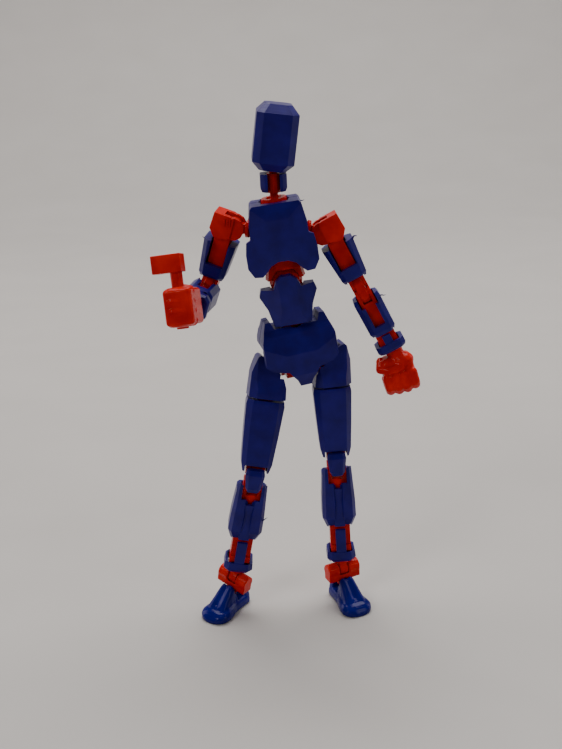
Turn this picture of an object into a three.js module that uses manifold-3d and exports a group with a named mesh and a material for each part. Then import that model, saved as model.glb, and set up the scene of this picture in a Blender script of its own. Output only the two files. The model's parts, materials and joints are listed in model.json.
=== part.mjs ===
// A posable figure 135 mm tall, printed in two plastics: a jointed red-orange frame
// and faceted blue covers that clip over it. It stands in the photographed pose.
// Millimetres, +Z up, the figure faces -Y, its left side is +X, soles on z = 0.

import * as THREE from "three";
import { mergeVertices } from "three/addons/utils/BufferGeometryUtils.js";
import Module from "manifold-3d";

const wasm = await Module();
wasm.setup();

// Fits
const play = 0.2;             // running clearance of every pin, peg and ball
const seam = 0.3;             // gap between a cover and the frame that it clips to
const swing = 0.35;           // side clearance between the leaves of a hinge
const roundSides = 12;        // facets round a pin or eye
const ballSides = 10;         // facets round a neck or shoulder ball
const bulbSides = 8;          // facets round the bulb of a peg
const bellyBallSides = 14;    // facets round the belly ball

// Joint hardware
const bodyHinge = { leaf: 1.1, cheek: 1.4, pin: 1.1 };
const armHinge = { leaf: 0.85, cheek: 0.85, pin: 0.8 };
const legHinge = { leaf: 1.1, cheek: 1, pin: 1 };
const pegRadius = 1;
const bulbRadius = 1.55;
const bulbReach = 2.2;        // from the mouth of a bore to the middle of the bulb
const flange = 0.8;           // thickness of the disc that turns on a mouth

// Pelvis
const hipSpacing = 15.8;
const pelvisBarHalf = 4.2;
const pelvisBarDepth = 2.5;   // half depth, and half height, of the bar
const pelvisBackDepth = 4.6;
const pelvisFrontDepth = 6.3;
const waistHeight = 10.9;     // hip axis to waist hinge
const waistEyeRadius = 1.9;

// Abdomen and chest
const bellyRise = 11.3;       // waist hinge to belly ball
const bellyBallRadius = 4.2;
const abdomenFrontDepth = 5.9;
const chestFrontDepth = 6.6;
const chestBackDepth = 5.6;
const shoulderRise = 13.1;    // belly ball to shoulder ball
const shoulderHalf = 3.8;     // chest middle to shoulder ball
const shoulderBallRadius = 2;
const barrelRadius = 2.2;
const barrelReach = 7.2;      // shoulder ball to shoulder hinge
const neckRise = 19.2;        // belly ball to neck ball

// Neck and head
const neckLength = 10;        // ball to ball
const neckBallRadius = 1.6;
const neckPostRadius = 1.6;
const neckCoverHalf = 3.2;
const headHalfWidth = 5;
const headHalfDepth = 5.8;
const headTop = 13.5;         // above the head ball
const headBottom = -1.9;

// Arms
const shoulderEyeRadius = 2.4;
const shoulderCheekRadius = 2.9;
const armOffset = 1.9;        // the arm hangs this far outside its shoulder hinge
const upperArmLength = 15.4;  // shoulder hinge to upper elbow pin
const elbowPitch = 3.6;       // between the two elbow pins
const elbowEyeRadius = 1.8;
const forearmLength = 15.7;   // lower elbow pin to the mouth of the wrist bore
const armBarHalf = 1.8;
const fistHalfWidth = 4.6;    // along the grip
const fistLength = 10.9;
const fistDepth = 7;
const fistTilt = 12;          // the fist leans this far to the thumb side of the forearm
const malletShaftRadius = 1.45;
const malletHead = [7, 4, 4.2];
const malletRise = 12.2;      // fist middle to the top of the mallet

// Legs
const hipEyeRadius = 2;
const upperThighLength = 7.3; // hip to thigh swivel
const thighLength = 18.2;     // thigh swivel to upper knee pin
const kneePitch = 5;          // between the two knee pins
const kneeEyeRadius = 2.2;
const shinLength = 30.5;      // lower knee pin to ankle pin
const legBarHalf = 1.8;
const ankleEyeRadius = 1.8;
const ankleLinkLength = 3.5;  // mouth of the ankle bore to the ankle pin
const ankleRise = 3.6;        // foot's roll pin to ankle pin
const footRise = 5.8;         // sole to roll pin
const footLength = 15.6;
const footHalfWidth = 4.2;
const heelReach = 4.4;

// Pose, in degrees and in places on the floor
const pelvisYaw = 11;
const pelvisRoll = 7;          // the left hip is the higher one
const waistTurn = -9;
const waistLean = 0.5;          // sideways set of the abdomen on the pelvis
const chestTilt = -1.1;
const neckSet = -6; 
const headSet = -8.6;
const armPose = {
  left: { droop: 22, yaw: 0, swing: 0, spread: 20, elbow: 1, wrist: 0 },
  right: { droop: -13, yaw: 14, swing: 5, spread: 26, elbow: 50, wrist: 117 },
};
const legPose = {
  left: { turn: -9, ankle: 21, foot: [14.4, 0.6] },
  right: { turn: 6, ankle: 38, foot: [-15.6, -1] },
};
const standingFlex = 2.5;     // each pin of the left knee, in the leg that carries the weight
const pelvisShift = 4.6;      // hips to the left of the middle

const frameColour = 0xb8300c;
const coverColour = 0x151a6e;

const framePlastic = () => new THREE.MeshStandardMaterial({
  color: frameColour, roughness: 0.32, metalness: 0,
});
const coverPlastic = () => new THREE.MeshStandardMaterial({
  color: coverColour, roughness: 0.45, metalness: 0,
});

// Shapes as solids

function toSolid(geometry) {
  geometry.deleteAttribute("normal");
  geometry.deleteAttribute("uv");
  const merged = mergeVertices(geometry, 1e-4);
  return new wasm.Manifold(new wasm.Mesh({
    numProp: 3,
    vertProperties: new Float32Array(merged.attributes.position.array),
    triVerts: new Uint32Array(merged.index.array),
  }));
}

function toGeometry(solid) {
  const mesh = solid.getMesh();
  const geometry = new THREE.BufferGeometry();
  geometry.setAttribute("position", new THREE.BufferAttribute(mesh.vertProperties, 3));
  geometry.setIndex(new THREE.BufferAttribute(mesh.triVerts, 1));
  return geometry;
}

const joined = (...solids) => solids.reduce((whole, piece) => whole.add(piece));
const cut = (whole, ...tools) => tools.reduce((rest, tool) => rest.subtract(tool), whole);

// A block given by its ranges along x, y and z
function block([x0, x1], [y0, y1], [z0, z1]) {
  const geometry = new THREE.BoxGeometry(x1 - x0, y1 - y0, z1 - z0);
  geometry.translate((x0 + x1) / 2, (y0 + y1) / 2, (z0 + z1) / 2);
  return toSolid(geometry);
}

// A round rod along one axis, from one coordinate to another
function rod(axis, radius, from, to, [x, y, z] = [0, 0, 0], endRadius = radius) {
  const geometry = new THREE.CylinderGeometry(endRadius, radius, to - from, roundSides);
  geometry.translate(0, (from + to) / 2, 0);
  if (axis === "x") geometry.rotateZ(-Math.PI / 2);
  if (axis === "z") geometry.rotateX(Math.PI / 2);
  geometry.translate(x, y, z);
  return toSolid(geometry);
}

function ball(radius, [x, y, z] = [0, 0, 0], sides = ballSides) {
  const geometry = new THREE.SphereGeometry(radius, sides, sides / 2);
  geometry.translate(x, y, z);
  return toSolid(geometry);
}

// A closed loft through rings of equal count, lowest ring first, each seen from above
function loft(rings) {
  const count = rings[0].points.length;
  const positions = rings.flatMap(({ z, points }) => points.flatMap(([x, y]) => [x, y, z]));
  const index = [];
  for (let ring = 0; ring < rings.length - 1; ring += 1) {
    for (let corner = 0; corner < count; corner += 1) {
      const next = (corner + 1) % count;
      const a = ring * count + corner;
      const b = ring * count + next;
      index.push(a, b, b + count, a, b + count, a + count);
    }
  }
  const top = (rings.length - 1) * count;
  for (let corner = 1; corner < count - 1; corner += 1) {
    index.push(0, corner + 1, corner, top, top + corner, top + corner + 1);
  }
  const geometry = new THREE.BufferGeometry();
  geometry.setAttribute("position", new THREE.Float32BufferAttribute(positions, 3));
  geometry.setIndex(index);
  return toSolid(geometry);
}

// An eight-sided ring: a rectangle with its corners cut back
function octagon(z, halfWidth, halfDepth, cornerX, cornerY = cornerX, [cx, cy] = [0, 0]) {
  const points = [
    [halfWidth, cornerY - halfDepth], [halfWidth, halfDepth - cornerY],
    [halfWidth - cornerX, halfDepth], [cornerX - halfWidth, halfDepth],
    [-halfWidth, halfDepth - cornerY], [-halfWidth, cornerY - halfDepth],
    [cornerX - halfWidth, -halfDepth], [halfWidth - cornerX, -halfDepth],
  ];
  return { z, points: points.map(([x, y]) => [x + cx, y + cy]) };
}

function outline(points) {
  return new THREE.Shape(points.map(([a, b]) => new THREE.Vector2(a, b)));
}

const inOrder = (a, b) => (a < b ? [a, b] : [b, a]);

// The right half of an outline, top to bottom, completed with its mirror image
function symmetric(half) {
  return [...half, ...half.map(([x, z]) => [-x, z]).reverse()];
}

// A plate cut to a front outline (x, z), between two depths
function frontPlate(points, [y0, y1]) {
  const geometry = new THREE.ExtrudeGeometry(outline(points), { depth: y1 - y0, bevelEnabled: false });
  geometry.rotateX(Math.PI / 2);
  geometry.translate(0, y1, 0);
  return toSolid(geometry);
}

// A bar cut to a side outline (y, z), between two places along x
function sidePlate(points, [x0, x1]) {
  const geometry = new THREE.ExtrudeGeometry(outline(points), { depth: x1 - x0, bevelEnabled: false });
  geometry.rotateX(Math.PI / 2);
  geometry.rotateZ(Math.PI / 2);
  geometry.translate(x0, 0, 0);
  return toSolid(geometry);
}

// A column cut to a plan outline (x, y), between two heights
function planColumn(points, [z0, z1]) {
  const geometry = new THREE.ExtrudeGeometry(outline(points), { depth: z1 - z0, bevelEnabled: false });
  geometry.translate(0, 0, z0);
  return toSolid(geometry);
}

function mirrored(geometry) {
  geometry.scale(-1, 1, 1);
  const { array } = geometry.index;
  for (let i = 0; i < array.length; i += 3) {
    [array[i], array[i + 1]] = [array[i + 1], array[i]];
  }
  return geometry;
}

// Hinge and swivel hardware, shared by every joint

// A peg with a round bulb at its end, along an axis: it starts outside the mouth
function peg(axis, start, mouth, way, at, extra = 0) {
  const bulb = mouth + way * bulbReach;
  const bead = new THREE.SphereGeometry(bulbRadius + extra, bulbSides, bulbSides / 2);
  if (axis === "x") bead.rotateZ(Math.PI / 2).translate(bulb, 0, 0);
  if (axis === "z") bead.rotateX(Math.PI / 2).translate(0, 0, bulb);
  return joined(
    rod(axis, pegRadius + extra, Math.min(start, bulb), Math.max(start, bulb), at),
    toSolid(bead.translate(...at)),
  );
}

// The bore that such a peg turns in
function pegBore(axis, mouth, way, at) {
  return peg(axis, mouth - way, mouth, way, at, play);
}

// A hinge tongue: a disc with a bore for the pin
function tongue(axis, size, radius, at) {
  return rod(axis, radius, -size.leaf, size.leaf, at);
}

function pinBore(axis, size, at) {
  return rod(axis, size.pin + play, -2 * size.leaf, 2 * size.leaf, at);
}

const slotHalf = (size) => size.leaf + swing;
const forkHalf = (size) => size.leaf + swing + size.cheek;

// Two cheeks and the pin between them
function fork(axis, size, radius, at) {
  const inner = slotHalf(size);
  const outer = forkHalf(size);
  return joined(
    rod(axis, radius, -outer, -inner, at),
    rod(axis, radius, inner, outer, at),
    rod(axis, size.pin, -outer + size.cheek / 2, outer - size.cheek / 2, at),
  );
}

// A fork along x whose cheeks meet in a web above (way 1) or below (way -1) its pin
const webGap = 0.4;
const webThickness = 1.2;
function leggedFork(size, radius, halfDepth, [x, y, z], way) {
  const reach = radius + webGap;
  const inner = slotHalf(size);
  const outer = forkHalf(size);
  const depths = [y - halfDepth, y + halfDepth];
  const span = (from, to) => (way > 0 ? [z + from, z + to] : [z - to, z - from]);
  return joined(
    fork("x", size, radius, [x, y, z]),
    block([x - outer, x - inner], depths, span(0, reach + 0.2)),
    block([x + inner, x + outer], depths, span(0, reach + 0.2)),
    block([x - outer, x + outer], depths, span(reach, reach + webThickness)),
  );
}

// A link with a tongue at each end: the upper pin at its origin, the lower one below
function twinLink(size, radius, pitch) {
  return cut(
    joined(
      tongue("x", size, radius, [0, 0, 0]),
      tongue("x", size, radius, [0, 0, -pitch]),
      block([-size.leaf, size.leaf], [0.3 - radius, radius - 0.3], [-pitch, 0]),
    ),
    pinBore("x", size, [0, 0, 0]),
    pinBore("x", size, [0, 0, -pitch]),
  );
}

// Assembly

const figure = new THREE.Group();

function addMesh(parent, name, solid, material, side = "left") {
  const geometry = side === "right" ? mirrored(toGeometry(solid)) : toGeometry(solid);
  const mesh = new THREE.Mesh(geometry, material);
  mesh.name = name;
  parent.add(mesh);
}

const radians = THREE.MathUtils.degToRad;
const xAxis = new THREE.Vector3(1, 0, 0);
const yAxis = new THREE.Vector3(0, 1, 0);
const zAxis = new THREE.Vector3(0, 0, 1);
const turned = (axis, degrees) => new THREE.Quaternion().setFromAxisAngle(axis, radians(degrees));

// A group that turns about one axis of its own frame; set is how its ball or pin was put in
function hinged(parent, name, at, axis, degrees, set = new THREE.Quaternion()) {
  const group = new THREE.Group();
  group.name = name;
  group.position.set(...at);
  group.quaternion.copy(set).multiply(turned(axis, degrees));
  group.userData.axis = axis.toArray();
  parent.add(group);
  return group;
}

// Pelvis: the root, with its origin between the hips

const pelvis = new THREE.Group();
pelvis.name = "pelvis";
figure.add(pelvis);

const pelvisTilt = turned(zAxis, pelvisYaw).multiply(turned(yAxis, -pelvisRoll));
pelvis.quaternion.copy(pelvisTilt);

const hipX = hipSpacing / 2;
const waistMouth = waistHeight - waistEyeRadius - flange - 2 * seam;
const waistColumnHalf = 2.9;

addMesh(pelvis, "pelvis_frame", cut(
  joined(
    block([-pelvisBarHalf, pelvisBarHalf], [-pelvisBarDepth, pelvisBarDepth],
      [-pelvisBarDepth, pelvisBarDepth]),
    block([-waistColumnHalf, waistColumnHalf], [-pelvisBarDepth, pelvisBarDepth],
      [0, waistMouth]),
  ),
  pegBore("z", waistMouth, -1, [0, 0, 0]),
  pegBore("x", pelvisBarHalf, -1, [0, 0, 0]),
  pegBore("x", -pelvisBarHalf, 1, [0, 0, 0]),
), framePlastic());

// The two half shells meet at the middle and leave a well for each hip
const pelvisTop = waistHeight + 1.5;
const pelvisWing = 9.8;
const pelvisOutline = symmetric([
  [5.5, pelvisTop - 1.2], [6.3, pelvisTop + 0.7], [7.6, pelvisTop + 0.6], [9.2, 8.4],
  [pelvisWing, 3.7], [9.7, 2.6], [7.6, 0.9], [4, 0.2], [2, -2.6], [1.4, -4.3],
]);
const hipWellInside = pelvisBarHalf + seam;
const hipWellTop = 7;
const hipWellFront = 4.6;
const waistWell = Math.hypot(forkHalf(bodyHinge), waistEyeRadius) + seam;
const pelvisHollow = joined(
  block([-hipWellInside, hipWellInside],
    [-pelvisBarDepth - seam, pelvisBarDepth + seam], [-8, pelvisBarDepth + seam]),
  block([-waistColumnHalf - seam, waistColumnHalf + seam],
    [-pelvisBarDepth - seam, pelvisBarDepth + seam], [0, waistHeight + 4]),
  rod("z", waistWell, waistHeight - waistEyeRadius - seam, waistHeight + 4, [0, 0, 0]),
  ...[-1, 1].map((side) => sidePlate([
    [-hipWellFront, hipWellTop], [-hipWellFront, 3.4], [-hipWellFront - 0.8, -1],
    [-hipWellFront - 0.8, -8], [pelvisBackDepth + 1, -8], [pelvisBackDepth + 1, hipWellTop],
  ], inOrder(side * hipWellInside, side * 14))),
);
const halfSeam = seam / 2;

addMesh(pelvis, "pelvis_front", cut(
  frontPlate(pelvisOutline, [-pelvisFrontDepth, -halfSeam]).intersect(planColumn(symmetric([
    [11, -halfSeam], [pelvisWing + 0.2, -3], [9.2, -5.5], [4, -pelvisFrontDepth],
  ]), [-6, 16])).intersect(sidePlate([
    [-pelvisFrontDepth, 4.6], [-4.6, waistHeight - 1.2], [-3.4, waistHeight + 0.1],
    [-2.8, pelvisTop + 1], [0, pelvisTop + 1], [0, -6],
    [-4.2, -6], [-pelvisFrontDepth, -1],
  ], [-12, 12])),
  pelvisHollow,
), coverPlastic());

addMesh(pelvis, "pelvis_back", cut(
  frontPlate(pelvisOutline, [halfSeam, pelvisBackDepth]).intersect(planColumn(symmetric([
    [12, halfSeam], [pelvisWing - 0.4, 3.6], [4.6, pelvisBackDepth],
  ]), [-2.4, 16])).intersect(sidePlate([
    [0, pelvisTop + 1], [2.2, pelvisTop + 1], [2.9, waistHeight + 0.2], [3.8, waistHeight - 0.8],
    [pelvisBackDepth, 6],
    [pelvisBackDepth, 1], [3.8, -2.4], [0, -2.4],
  ], [-12, 12])),
  pelvisHollow,
), coverPlastic());

// Waist link: turns on the pelvis, and the abdomen bends on its eye

const waist = hinged(pelvis, "waist_turn", [0, 0, waistMouth], zAxis, waistTurn);
const waistEyeRise = waistHeight - waistMouth;
addMesh(waist, "waist_link", cut(
  joined(
    peg("z", seam + 0.1, 0, -1, [0, 0, 0]),
    rod("z", 2.2, seam, seam + flange, [0, 0, 0]),
    block([-bodyHinge.leaf, bodyHinge.leaf], [-1.3, 1.3], [seam + flange - 0.1, waistEyeRise]),
    tongue("x", bodyHinge, waistEyeRadius, [0, 0, waistEyeRise]),
  ),
  pinBore("x", bodyHinge, [0, 0, waistEyeRise]),
), framePlastic());

// Abdomen, with the belly ball on top

const abdomen = hinged(waist, "waist_bend", [0, 0, waistEyeRise], xAxis, 0,
  turned(yAxis, -waistLean));
const abdomenHalfDepth = 1.9;
const abdomenHalf = forkHalf(bodyHinge);
addMesh(abdomen, "abdomen_frame", joined(
  leggedFork(bodyHinge, waistEyeRadius, abdomenHalfDepth, [0, 0, 0], 1),
  block([-abdomenHalf, abdomenHalf], [-abdomenHalfDepth, abdomenHalfDepth],
    [waistEyeRadius + webGap, bellyRise - bellyBallRadius + 1]),
  ball(bellyBallRadius, [0, 0, bellyRise], bellyBallSides),
), framePlastic());

const abdomenBottom = 1;
const abdomenOutline = symmetric([
  [1.2, bellyRise + 2.4], [2.7, bellyRise + 1.1], [3.4, bellyRise - 0.9],
  [6.6, bellyRise - 1], [7.2, bellyRise - 2.9], [5.6, 5.2], [4.7, abdomenBottom],
]);
const abdomenHollow = joined(
  block([-abdomenHalf - seam, abdomenHalf + seam], [-abdomenHalfDepth - seam, abdomenHalfDepth + seam],
    [-1, bellyRise]),
  ball(bellyBallRadius + seam, [0, 0, bellyRise], bellyBallSides),
);
addMesh(abdomen, "abdomen_front", cut(
  frontPlate(abdomenOutline, [-abdomenFrontDepth, -halfSeam]).intersect(planColumn(symmetric([
    [7.4, -halfSeam], [7.2, -2.2], [2.2, -abdomenFrontDepth],
  ]), [0, 16])).intersect(sidePlate([
    [-5, abdomenBottom], [-abdomenFrontDepth, 5], [-abdomenFrontDepth, 14.2], [0, 14.2],
    [0, abdomenBottom],
  ], [-8, 8])),
  abdomenHollow,
), coverPlastic());

addMesh(abdomen, "abdomen_back", cut(
  frontPlate(symmetric([
    [3.4, bellyRise - 2.4], [6.2, bellyRise - 2.6], [6.6, bellyRise - 3.6], [5.2, 5.2],
    [4.7, abdomenBottom],
  ]), [halfSeam, 4.2]).intersect(planColumn(symmetric([
    [7.2, halfSeam], [6.4, 2], [2.4, 4.2],
  ]), [0, 16])),
  abdomenHollow,
), coverPlastic());

// Chest: a socket over the belly ball, a socket at each shoulder and one for the neck

const chest = hinged(abdomen, "chest_tilt", [0, 0, bellyRise], yAxis, -chestTilt);
const spineHalf = 3;
const girdleHalf = shoulderHalf + 2.1;
const girdleDepth = 2.9;
const girdleRise = 2.9;
const collarRise = neckRise + 1.5;
const droopRoom = 2;
const bellySocketHalf = 5;
const bellySocketTop = bellyBallRadius + 1.8;
addMesh(chest, "chest_frame", cut(
  joined(
    rod("z", bellySocketHalf, 0.8, bellySocketTop, [0, 0, 0], bellySocketHalf - 1),
    block([-spineHalf, spineHalf], [-girdleDepth, girdleDepth], [bellySocketTop - 0.5, neckRise]),
    block([-girdleHalf, girdleHalf], [-girdleDepth, girdleDepth],
      [shoulderRise - girdleRise, shoulderRise + girdleRise]),
    rod("z", 3.5, neckRise - 2, collarRise, [0, 0, 0], 3.1),
  ),
  ball(bellyBallRadius + play, [0, 0, 0], bellyBallSides),
  block([-bellySocketHalf, bellySocketHalf], [-bellySocketHalf - 1, -2.4], [0, 3.6]),
  ...[-1, 1].map((side) => joined(
    ball(shoulderBallRadius + play, [side * shoulderHalf, 0, shoulderRise]),
    side > 0
      ? rod("x", 1.5, shoulderHalf, girdleHalf + 1, [0, 0, shoulderRise], droopRoom + 0.2)
      : rod("x", droopRoom + 0.2, -girdleHalf - 1, -shoulderHalf, [0, 0, shoulderRise], 1.5),
  )),
  ball(neckBallRadius + play, [0, 0, neckRise]),
  rod("z", 1.4, neckRise, collarRise + 0.5, [0, 0, 0], 2.2),
), framePlastic());

const shoulderWell = shoulderCheekRadius + 2.1;
const shoulderWellFront = 4.35;
const chestTop = 20.1;
const chestOutline = symmetric([
  [5.6, chestTop], [6.2, chestTop - 0.6], [7, shoulderRise + 2], [7, shoulderRise - 0.9],
  [8.2, shoulderRise - 1.5], [8.7, 8.6], [8.7, 5.2], [7.4, 3], [5.4, 2.9], [4.2, 4], [3, 5.4], [1.2, 6.2],
]);
const chestHollow = joined(
  ball(bellyBallRadius + 1.7, [0, 0, 0], bellyBallSides),
  rod("z", bellySocketHalf + seam, -1, bellySocketTop + seam, [0, 0, 0]),
  block([-spineHalf - seam, spineHalf + seam], [-girdleDepth - seam, girdleDepth + seam],
    [0, chestTop + 1]),
  block([-girdleHalf - seam, girdleHalf + seam], [-girdleDepth - seam, girdleDepth + seam],
    [shoulderRise - girdleRise - seam, shoulderRise + girdleRise + seam]),
  rod("z", 3.5 + seam, neckRise - 2 - seam, chestTop + 1, [0, 0, 0]),
  ...[-1, 1].map((side) => joined(
    rod("x", barrelRadius + 1.4, ...inOrder(side * (girdleHalf - 0.5), side * 12),
      [0, 0, shoulderRise]),
    rod("x", shoulderWell, ...inOrder(side * 7.2, side * 12), [0, 0, shoulderRise - 1.4])
      .intersect(block([-12, 12], [-shoulderWellFront, 12], [0, chestTop])),
  )),
);
addMesh(chest, "chest_front", cut(
  frontPlate(chestOutline, [-chestFrontDepth, -halfSeam]).intersect(planColumn(symmetric([
    [9.2, -halfSeam], [8.9, -5.1], [2.6, -chestFrontDepth],
  ]), [0, 22])).intersect(sidePlate([
    [-5.6, chestTop], [-chestFrontDepth, 16.4], [-chestFrontDepth, 8.4], [-5.6, 1], [0, 1],
    [0, chestTop],
  ], [-10, 10])),
  chestHollow,
), coverPlastic());

addMesh(chest, "chest_back", cut(
  frontPlate(symmetric([
    [5.6, chestTop], [6.2, chestTop - 0.6], [7, shoulderRise + 2], [7, shoulderRise - 0.9],
    [8.2, shoulderRise - 1.5], [8.7, 8.6], [8.2, 5.2], [7, 3.7], [5.4, 3.6],
  ]), [halfSeam, chestBackDepth]).intersect(planColumn(symmetric([
    [9.2, halfSeam], [8.9, 3.4], [3, chestBackDepth],
  ]), [0, 22])).intersect(sidePlate([
    [0, chestTop], [3.6, chestTop], [chestBackDepth, 15], [chestBackDepth, 8], [4, 2], [0, 2],
  ], [-10, 10])),
  chestHollow,
), coverPlastic());

// Neck: a post with a ball at each end, in a cover that is open at the front

const neck = hinged(chest, "neck_bend", [0, 0, neckRise], xAxis, 0, turned(yAxis, -neckSet));
const neckCoverBottom = 3;
const neckCoverTop = 7.3;
addMesh(neck, "neck_post", joined(
  ball(neckBallRadius, [0, 0, 0]),
  rod("z", 1, 0, neckLength, [0, 0, 0]),
  rod("z", neckPostRadius, neckCoverBottom - 0.3, neckCoverTop, [0, 0, 0]),
  ball(neckBallRadius, [0, 0, neckLength]),
), framePlastic());

addMesh(neck, "neck_cover", cut(
  loft([
    octagon(neckCoverBottom, neckCoverHalf - 0.4, 2.6, 1),
    octagon(neckCoverBottom + 0.9, neckCoverHalf, 3, 1.1),
    octagon(neckCoverTop, neckCoverHalf, 3, 1.1),
  ]),
  rod("z", neckPostRadius + seam, 0, neckLength, [0, 0, 0]),
  block([-1.45, 1.45], [-5, 0], [0, neckLength]),
), coverPlastic());

// Head: a socket block inside a plain eight-sided shell

const head = hinged(neck, "head_turn", [0, 0, neckLength], zAxis, 0, turned(yAxis, -headSet));
const headCoreHalf = 2.7;
const headCoreTop = 3.4;
addMesh(head, "head_core", cut(
  block([-headCoreHalf, headCoreHalf], [-headCoreHalf, headCoreHalf], [-1.2, headCoreTop]),
  ball(neckBallRadius + play, [0, 0, 0]),
  rod("z", 1.9, -2, 0, [0, 0, 0], 1.3),
), framePlastic());

addMesh(head, "head_shell", cut(
  loft([
    octagon(headBottom, 3.2, 3.8, 1.1),
    octagon(headBottom + 1.9, headHalfWidth, headHalfDepth, 1.7),
    octagon(headTop - 2, headHalfWidth, headHalfDepth, 1.7),
    octagon(headTop, 3.2, 3.8, 1.1),
  ]),
  block([-headCoreHalf - seam, headCoreHalf + seam], [-headCoreHalf - seam, headCoreHalf + seam],
    [-1.2 - seam, headCoreTop + seam]),
  rod("z", 2.2, headBottom - 1, 0, [0, 0, 0]),
), coverPlastic());

// Leg angles that put both soles flat on the floor under the pelvis, as it is posed.
// The left leg carries the weight and sets the height; the right knee gives what is left.

// From hip to ankle pin in the hip's frame before swing and spread, at a given knee flex
function legReach(flex, turn) {
  const first = radians(flex);
  const second = 2 * first;
  const back = kneePitch * Math.sin(first) + shinLength * Math.sin(second);
  const down = kneePitch * Math.cos(first) + shinLength * Math.cos(second);
  return new THREE.Vector3(0, back, -thighLength - down)
    .applyQuaternion(turned(zAxis, turn))
    .add(new THREE.Vector3(0, 0, -upperThighLength));
}

// Swing and spread that point the leg from its hip to the ankle, and how far it misses
function aimLeg(toAnkle, flex, turn) {
  const reach = legReach(flex, turn);
  const inPlane = Math.hypot(reach.x, reach.z);
  const tilt = Math.asin(toAnkle.x / inPlane) - Math.atan2(reach.x, -reach.z);
  const spread = THREE.MathUtils.radToDeg(-tilt);
  const leaned = reach.clone().applyQuaternion(turned(yAxis, spread));
  const swingAngle = Math.atan2(toAnkle.z, toAnkle.y) - Math.atan2(leaned.z, leaned.y);
  return { spread, swing: THREE.MathUtils.radToDeg(swingAngle), short: toAnkle.length() - reach.length() };
}

const wholeTurn = 360;
const centred = (degrees) => degrees - wholeTurn * Math.round(degrees / wholeTurn);

function settleLeg(side, height, flex) {
  const way = side === "left" ? 1 : -1;
  const turn = way * legPose[side].turn;
  const ankleTurn = way * legPose[side].ankle;
  const [footX, footY] = legPose[side].foot;
  const hipPlace = new THREE.Vector3(way * hipX, 0, 0).applyQuaternion(pelvisTilt)
    .add(new THREE.Vector3(pelvisShift, 0, height));
  const ankle = new THREE.Vector3(footX, footY, footRise + ankleRise);
  let result;
  for (let pass = 0; pass < 8; pass += 1) {
    const toAnkle = ankle.clone().sub(hipPlace).applyQuaternion(pelvisTilt.clone().invert());
    const aim = aimLeg(toAnkle, flex, turn);
    const linkFrame = pelvisTilt.clone()
      .multiply(turned(xAxis, aim.swing)).multiply(turned(yAxis, aim.spread))
      .multiply(turned(zAxis, turn)).multiply(turned(xAxis, 2 * flex))
      .multiply(turned(zAxis, ankleTurn));
    const up = zAxis.clone().applyQuaternion(linkFrame.clone().invert());
    const roll = THREE.MathUtils.radToDeg(Math.asin(up.x));
    const bend = THREE.MathUtils.radToDeg(Math.atan2(-up.y, up.z));
    const yoke = linkFrame.multiply(turned(xAxis, bend));
    const rise = zAxis.clone().multiplyScalar(ankleRise).applyQuaternion(yoke);
    ankle.set(footX, footY, footRise).add(rise);
    result = {
      swing: centred(aim.swing), spread: -way * centred(aim.spread), turn: legPose[side].turn,
      ankle: legPose[side].ankle, flex, bend: centred(bend), roll: -way * centred(roll), short: aim.short,
    };
  }
  return result;
}

// Bisection on a quantity that falls through zero
function solve(low, high, miss) {
  let [a, b] = [low, high];
  for (let step = 0; step < 50; step += 1) {
    const middle = (a + b) / 2;
    if (miss(middle) > 0) b = middle;
    else a = middle;
  }
  return (a + b) / 2;
}

function standOnBothFeet() {
  const straight = upperThighLength + thighLength + kneePitch + shinLength;
  const top = straight + ankleRise + footRise + hipX;
  const height = solve(straight / 2, top, (h) => settleLeg("left", h, standingFlex).short);
  const flex = solve(0, 60, (angle) => settleLeg("right", height, angle).short);
  pelvis.position.set(pelvisShift, 0, height);
  return {
    left: settleLeg("left", height, standingFlex),
    right: settleLeg("right", height, flex),
  };
}

// Arms: made once for the left side, mirrored for the right

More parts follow.
